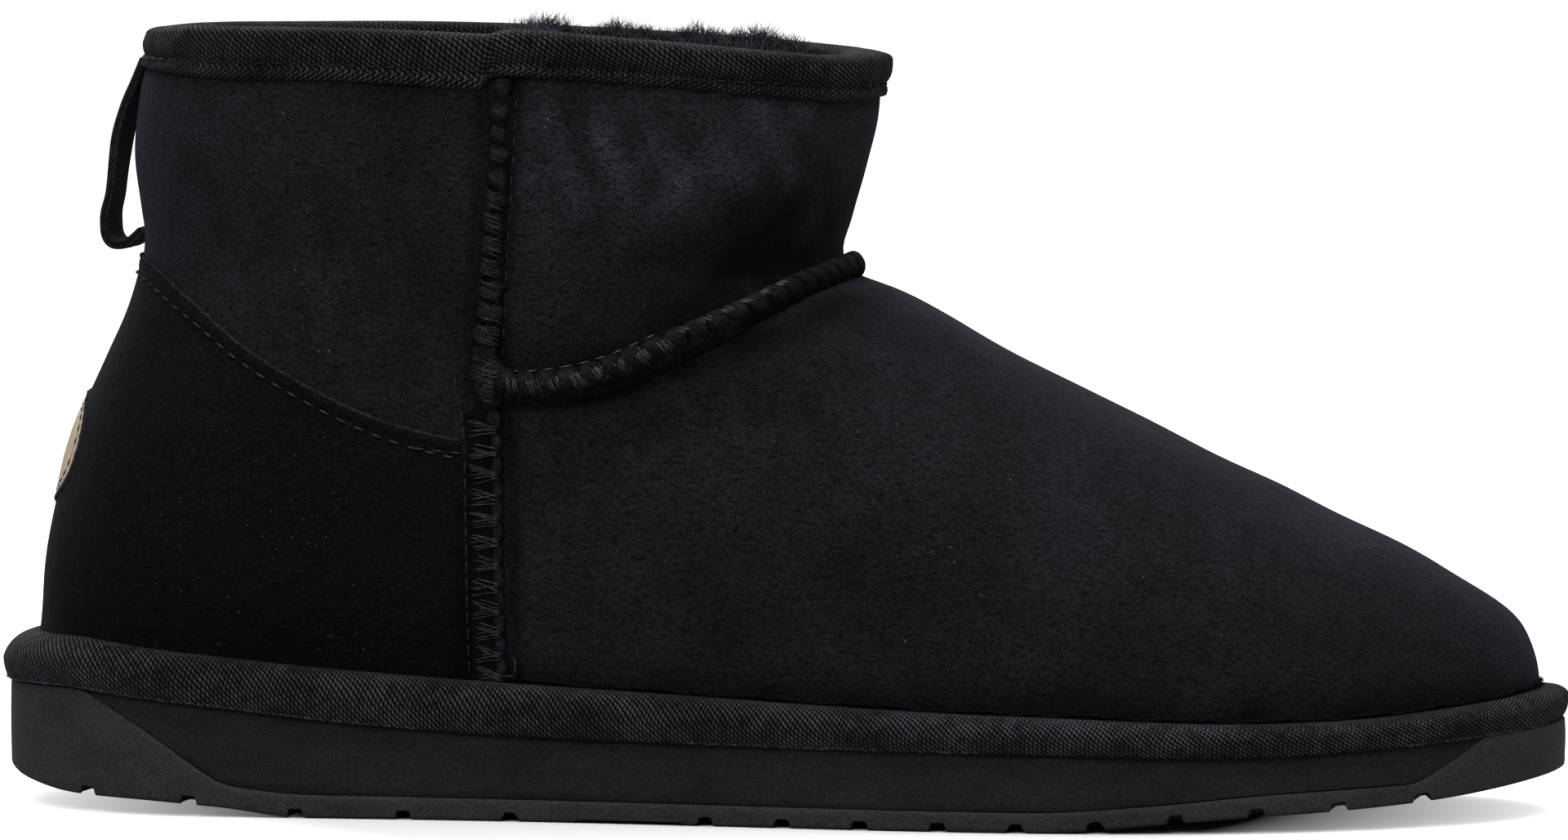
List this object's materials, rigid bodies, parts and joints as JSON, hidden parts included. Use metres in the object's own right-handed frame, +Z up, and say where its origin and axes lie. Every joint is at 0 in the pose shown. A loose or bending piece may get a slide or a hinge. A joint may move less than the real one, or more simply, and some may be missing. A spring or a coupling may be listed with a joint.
{
  "type": "sheepskin ankle boot",
  "caption": "Low pull-on sheepskin ankle boot with a taped collar, overstitched side and vamp seams, heel counter, padded rand and grooved wedge sole.",
  "frame": {"origin": "on the floor under the middle of the boot's length and width", "axes": "+X along the foot towards the toe, +Y towards the inner side of the foot, +Z up"},
  "size_m": [0.2744, 0.0956, 0.1356],
  "materials": {
    "rubber": "smooth matte black rubber",
    "foam": "fine vertical-grained matte black foam",
    "twill": "charcoal twill tape",
    "fleece": "deep blue-grey wool fleece",
    "suede": "black suede with a short blue-grey nap",
    "counter_suede": "deep black suede",
    "label_leather": "bare tan leather with a dark stitched edge"
  },
  "bodies": {
    "root": {"outsole": "rubber", "midsole": "foam", "rand": "twill", "insole": "fleece", "upper": "suede", "heel_counter": "counter_suede", "heel_label": "label_leather", "collar_binding": "twill", "pull_loop": "twill"}
  },
  "joints": []
}
